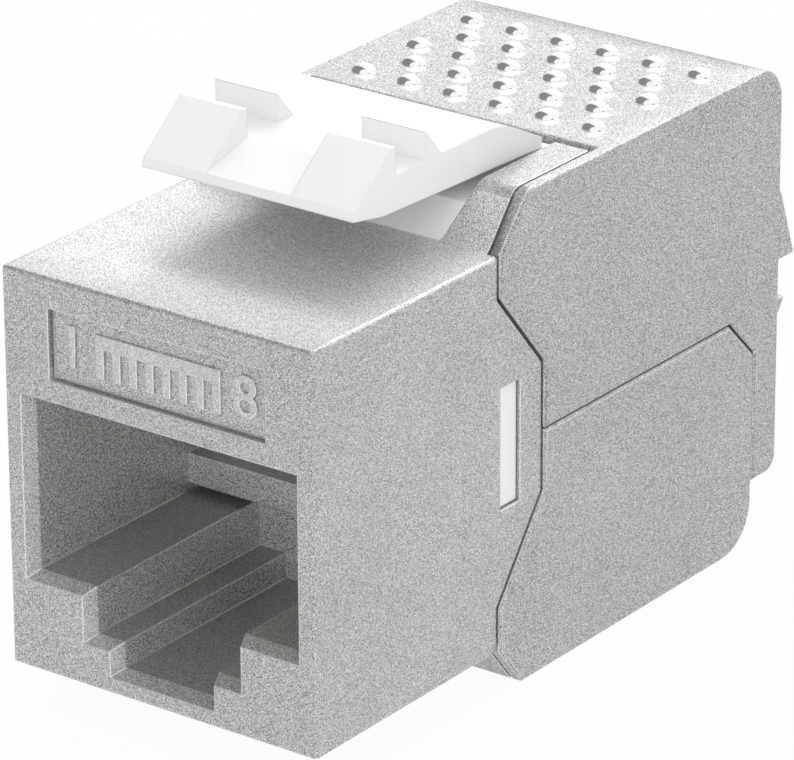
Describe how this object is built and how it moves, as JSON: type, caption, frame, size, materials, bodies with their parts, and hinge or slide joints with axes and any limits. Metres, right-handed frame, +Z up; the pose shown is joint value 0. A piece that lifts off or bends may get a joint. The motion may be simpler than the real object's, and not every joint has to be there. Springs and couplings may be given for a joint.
{
  "type": "keystone jack",
  "caption": "Shielded keystone jack: metal front block with modular socket, flexing panel latch and two rear covers that swing open over the wire terminals.",
  "frame": {"origin": "middle of the footprint at the height of the flat underside", "axes": "+X to the right seen from the front, +Y from the socket face towards the cable entry, +Z up towards the panel latch"},
  "size_m": [0.0148, 0.0316, 0.0229],
  "materials": {
    "blasted_zinc": "fine sand-blasted zinc alloy casting, bare",
    "cover_zinc": "fine sand-blasted zinc alloy casting, bare",
    "latch_plastic": "clean white moulded plastic, satin",
    "carrier_plastic": "white moulded plastic",
    "board_green": "green solder mask on glass-fibre board",
    "block_plastic": "light grey moulded plastic",
    "guide_plastic": "white moulded plastic",
    "contact_gold": "gold-plated copper alloy spring",
    "terminal_tin": "tin-plated copper alloy blade"
  },
  "bodies": {
    "housing": {"front_housing": "blasted_zinc", "latch_base": "latch_plastic", "jack_insert": "carrier_plastic", "circuit_board": "board_green", "upper_terminal_block": "block_plastic", "lower_terminal_block": "block_plastic", "contact_1": "contact_gold", "contact_2": "contact_gold", "contact_3": "contact_gold", "contact_4": "contact_gold", "contact_5": "contact_gold", "contact_6": "contact_gold", "contact_7": "contact_gold", "contact_8": "contact_gold", "wire_terminal_1": "terminal_tin", "wire_terminal_2": "terminal_tin", "wire_terminal_3": "terminal_tin", "wire_terminal_4": "terminal_tin", "wire_terminal_5": "terminal_tin", "wire_terminal_6": "terminal_tin", "wire_terminal_7": "terminal_tin", "wire_terminal_8": "terminal_tin"},
    "upper_cover_body": {"upper_cover": "cover_zinc", "upper_wire_guide": "guide_plastic"},
    "lower_cover_body": {"lower_cover": "cover_zinc", "lower_wire_guide": "guide_plastic"},
    "latch_body": {"panel_latch": "latch_plastic"}
  },
  "joints": [
    {"name": "upper_cover_hinge", "type": "hinge", "parent": "housing", "child": "upper_cover_body", "pos_m": [0, -0.0025, 0.01855], "axis": [1, 0, 0], "range_deg": [0, 80]},
    {"name": "lower_cover_hinge", "type": "hinge", "parent": "housing", "child": "lower_cover_body", "pos_m": [0, -0.0025, 0.00165], "axis": [1, 0, 0], "range_deg": [-80, 0]},
    {"name": "latch_flex", "type": "hinge", "parent": "housing", "child": "latch_body", "pos_m": [0, 0.0017, 0.02007], "axis": [1, 0, 0], "range_deg": [0, 6.5], "stiffness_Nm_per_rad": 0.05}
  ],
  "couplings": [
    {"joint": "lower_cover_hinge", "follows": "upper_cover_hinge", "ratio": -1}
  ]
}
